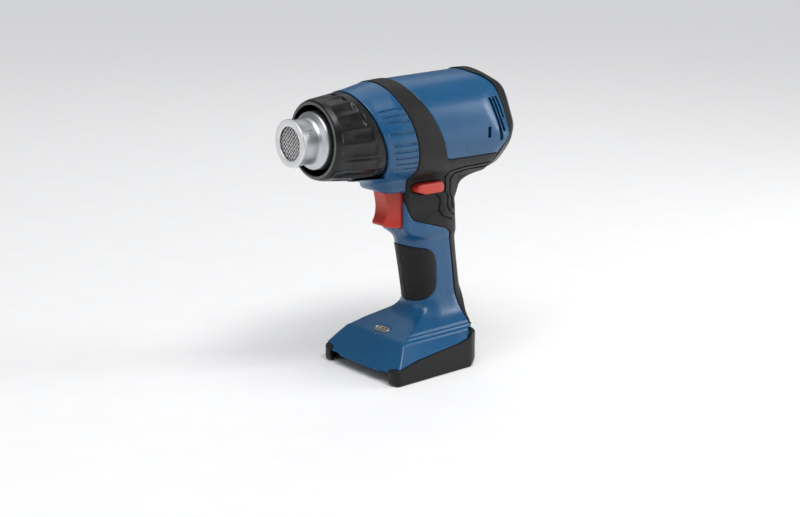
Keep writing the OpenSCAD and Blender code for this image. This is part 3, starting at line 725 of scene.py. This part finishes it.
a, rings = sleeve_rings(FLUTES * 26)
v = np.concatenate([np.stack([x + 0 * a, (r + 0 * a) * np.sin(a), AXIS + (r + 0 * a) * np.cos(a)], 1)
                    for x, r in rings])
n, m = len(rings), len(a)
i, j = (k.ravel() for k in np.meshgrid(np.arange(n), np.arange(m), indexing="ij"))
fq = np.stack([i * m + j, (i + 1) % n * m + j, (i + 1) % n * m + (j + 1) % m, i * m + (j + 1) % m], 1)
sleeve = finish_piece(build("looks_heat_sleeve", v, fq), "housing", RESIN, ["heat_sleeve"])
sleeve.data.materials.append(PAINTED_HIGHLIGHT_RESIN)
# Faces on the rim of the mouth take the lighter grey, a painted highlight
for p in sleeve.data.polygons:
    if p.center.x * MM > 66.15:
        p.material_index = 1


def lathe(name, profile, material, nodes=(), body="housing", around=160):
    """A closed ring turned about the barrel's centre line from [X, radius] points."""
    pts = np.array(profile, float)
    a = np.linspace(0, 2 * math.pi, around, endpoint=False)
    n = len(pts)
    v = np.stack([np.repeat(pts[:, 0], around), np.outer(pts[:, 1], np.cos(a)).ravel(),
                  AXIS + np.outer(pts[:, 1], np.sin(a)).ravel()], 1)
    faces = [(i * around + j, i * around + (j + 1) % around, (i + 1) % n * around + (j + 1) % around,
              (i + 1) % n * around + j) for i in range(n) for j in range(around)]
    obj = build("looks_" + name, v, faces)
    return finish_piece(obj, body, material, nodes)


LIP_BACK = 1.3     # thickness of the lip's face
NOZZLE_LINE = [
    (TIP, MOUTH + 0.1), (TIP, LIP - 0.25), (TIP - 0.3, LIP), (TIP - 2.0, LIP), (TIP - 2.35, SPOUT + 0.15),
    (71.4, SPOUT), (69.6, 14.2), (68.4, 16.2), (67.6, 17.3), (66.6, 17.6), (56, 17.6), (56, 16.8),
    (66.2, 16.8), (67.4, 15.6), (69.2, 12.7), (TIP - LIP_BACK, 12.6), (TIP - LIP_BACK, MOUTH)]
nozzle = lathe("outlet_nozzle", fillet(NOZZLE_LINE, 0.5, 4), STEEL, ["outlet_nozzle"])
nozzle.data.materials.append(PAINTED_HIGHLIGHT_STEEL)
nozzle.data.materials.append(PAINTED_SHADE_STEEL)
for p in nozzle.data.polygons:
    x, reach = p.center.x * MM, math.hypot(p.center.y * MM, p.center.z * MM - AXIS)
    # Faces at the front of the lip take the whiter steel, a painted highlight
    if x > TIP - 0.4:
        p.material_index = 1
    # The bore behind the mesh takes the near-black steel, painted shade
    elif reach < 12.9 and x < TIP - 1.2:
        p.material_index = 2


def tube(points, r, sides):
    """Vertices and quads of a wire along points."""
    p = np.array(points, float)
    t = np.gradient(p, axis=0)
    t /= np.linalg.norm(t, axis=1, keepdims=True)
    up = np.where(np.abs(t[:, :1]) > 0.9, [[0, 1.0, 0]], [[1.0, 0, 0]])
    u = np.cross(up, t)
    u /= np.linalg.norm(u, axis=1, keepdims=True)
    w = np.cross(t, u)
    a = np.linspace(0, 2 * math.pi, sides, endpoint=False)
    ring = np.cos(a)[None, :, None] * u[:, None] + np.sin(a)[None, :, None] * w[:, None]
    v = (p[:, None] + r * ring).reshape(-1, 3)
    faces = [(i * sides + j, i * sides + (j + 1) % sides, (i + 1) * sides + (j + 1) % sides,
              (i + 1) * sides + j) for i in range(len(p) - 1) for j in range(sides)]
    return v, faces


def woven_mesh(radius, pitch, wire, x):
    """Two crossing sets of wavy wires, turned 45 degrees."""
    verts, faces, base = [], [], 0
    n = int(radius / pitch)
    for turn in (0, 1):
        for k in range(-n, n + 1):
            c = k * pitch
            half = math.sqrt(max(radius * radius - c * c, 0))
            if half < pitch:
                continue
            s = np.arange(-half, half + 0.01, pitch / 4)
            phase = 1 if (k + turn) % 2 else -1
            wave = phase * wire * 0.95 * np.cos(math.pi * s / pitch)
            a, b = (s, np.full_like(s, c)) if turn == 0 else (np.full_like(s, c), s)
            q = math.sqrt(0.5)
            pts = np.stack([x + wave, (a - b) * q, AXIS + (a + b) * q], 1)
            v, fq = tube(pts, wire, 6)
            verts.append(v)
            faces += [tuple(i + base for i in quad) for quad in fq]
            base += len(v)
    return np.concatenate(verts), faces


v, fq = woven_mesh(12.4, 1.85, 0.26, TIP - 2.1)
finish_piece(build("looks_outlet_mesh", v, fq), "housing", MESH_STEEL, ["outlet_mesh"])

# Seam of the rolled outlet tube
SEAM_ANGLE = math.radians(38.0)
SEAM_R = SPOUT + 0.02
pts = [(x, SEAM_R * math.cos(SEAM_ANGLE), AXIS + SEAM_R * math.sin(SEAM_ANGLE))
       for x in np.linspace(79.8, 73.6, 24)]
v, fq = tube(pts, 0.17, 6)
finish_piece(build("looks_outlet_slot", v, fq), "housing", DARK)


def lens_body(x, y, z):
    oval, w = led_oval(x, y, z, 2.4, 5.9)
    return smax(oval, np.abs(w + 0.75) - 1.0 + 0.05 * oval * oval, 0.5)


solid("led_lens", lens_body, (8, -8, 20), (18, 8, 29), 0.3, "housing", LENS, ["led_lens"])


def lens_bezel(x, y, z):
    oval, w = led_oval(x, y, z, 2.4, 5.9)
    d = np.maximum(oval - 0.42, -(oval - 0.03))
    return smax(d, np.abs(w + 0.55) - 0.7, 0.15)


solid("led_bezel", lens_bezel, (8, -8, 20), (18, 8, 29), 0.22, "housing", BEZEL)

# Trigger spring, a coil of wire between the ends of the CAD spring
SPRING_WIRE = 0.4    # radius of its wire
TURNS = 6
spring_lo, spring_hi = box_mm("trigger_spring")
spring_z = (spring_lo[2] + spring_hi[2]) / 2
coil = (spring_hi[2] - spring_lo[2]) / 2 - SPRING_WIRE
turn = np.linspace(0, 2 * math.pi * TURNS, 241)
pts = np.stack([np.linspace(spring_lo[0] + SPRING_WIRE, spring_hi[0] - SPRING_WIRE, 241),
                coil * np.cos(turn), spring_z + coil * np.sin(turn)], 1)
v, fq = tube(pts, SPRING_WIRE, 10)
spring = finish_piece(build("looks_trigger_spring", v, fq), "housing", GROUND,
                      ["trigger_spring"])
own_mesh(spring)

# Finer surfaces for the pieces that keep their CAD shape
KEEP = {
    "intake_screen": DARK, "battery_socket": DARK, "terminal_block": DARK, "contact_blades": BRONZE,
    "led_board": GREEN, "heater_tube": STEEL, "mica_tube": MICA, "heater_former": CERAMIC,
    "heating_coil": WIRE, "heater_flange": CERAMIC, "thermal_cutout": SCREW, "fan_duct": DARK,
    "impeller": GREY, "motor_shaft": GROUND, "motor_armature": COPPER, "motor_can": GROUND,
    "motor_mount": DARK, "control_board": GREEN, "switch_module": GREY, "switch_plunger": WHITE,
    "supply_leads": LEAD, "heater_leads": BRAID, "housing_screws": SCREW,
}
for node, material in KEEP.items():
    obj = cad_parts[node]
    if not obj.material_slots:
        obj.data.materials.append(material)
    for s in obj.material_slots:
        s.material = material

# ---------------------------------------------------------------- stage

lo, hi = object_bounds()
ground = bpy.data.meshes.new("ground")
HALF = 40.0        # half width of the floor in metres
BELOW = 0.0002     # how far it lies below the feet
ground_z = lo.z - BELOW
ground.from_pydata([(-HALF, -HALF, ground_z), (HALF, -HALF, ground_z), (HALF, HALF, ground_z),
                    (-HALF, HALF, ground_z)], [], [(0, 1, 2, 3)])
floor = bpy.data.objects.new("floor", ground)
bpy.context.scene.collection.objects.link(floor)
floor.data.materials.append(shader("pale_floor", (0.86, 0.86, 0.86), 0.8, variation=0.04, mottle=0.01))
floor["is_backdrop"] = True

world = bpy.data.worlds.new("studio")
bpy.context.scene.world = world
world.use_nodes = True
world.node_tree.nodes["Background"].inputs["Color"].default_value = (0.93, 0.95, 1.0, 1)
world.node_tree.nodes["Background"].inputs["Strength"].default_value = 0.22


def area(name, place, aim, size, power, size_y=None):
    light = bpy.data.lights.new(name, "AREA")
    light.shape = "RECTANGLE"
    light.size, light.size_y = size, size_y or size
    light.energy = power
    obj = bpy.data.objects.new(name, light)
    bpy.context.scene.collection.objects.link(obj)
    obj.location = place
    obj.rotation_mode = "QUATERNION"
    obj.rotation_quaternion = (Vector(aim) - Vector(place)).to_track_quat("-Z", "Y")
    obj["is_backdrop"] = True


middle = (lo + hi) / 2
area("key", middle + Vector((0.10, 0.60, 1.05)), middle, 0.45, 3.8, 0.30)
area("fill", middle + Vector((0.95, 0.1, 0.35)), middle, 0.5, 1.0)
area("strip", middle + Vector((-0.75, 0.55, 0.25)), middle, 0.10, 3.4, 0.7)
area("back", middle + Vector((-0.5, -0.6, 1.1)), middle, 0.9, 2.0)
sun = bpy.data.lights.new("overhead", "SUN")
sun.energy, sun.angle = 1.9, math.radians(50)
overhead = bpy.data.objects.new("overhead", sun)
bpy.context.scene.collection.objects.link(overhead)
overhead.rotation_mode = "QUATERNION"
overhead.rotation_quaternion = Vector((-0.15, -0.30, -0.94)).to_track_quat("-Z", "Y")
overhead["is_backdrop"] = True

camera = bpy.data.cameras.new("camera")
camera.lens, camera.sensor_width = 61.6, 36.0
camera.clip_start, camera.clip_end = 0.05, 20
eye = bpy.data.objects.new("camera", camera)
bpy.context.scene.collection.objects.link(eye)
eye.location = (0.5438, 0.6500, 0.2971)
eye.rotation_mode = "QUATERNION"
eye.rotation_quaternion = Vector((-0.6211, -0.7397, -0.2588)).to_track_quat("-Z", "Y")
bpy.context.scene.camera = eye
eye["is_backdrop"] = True
bpy.context.scene.view_settings.view_transform = "Standard"

boxes = (("cad", cad_bounds), ("looks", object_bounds()))
plain = {label: [[round(c, 5) for c in corner] for corner in box] for label, box in boxes}
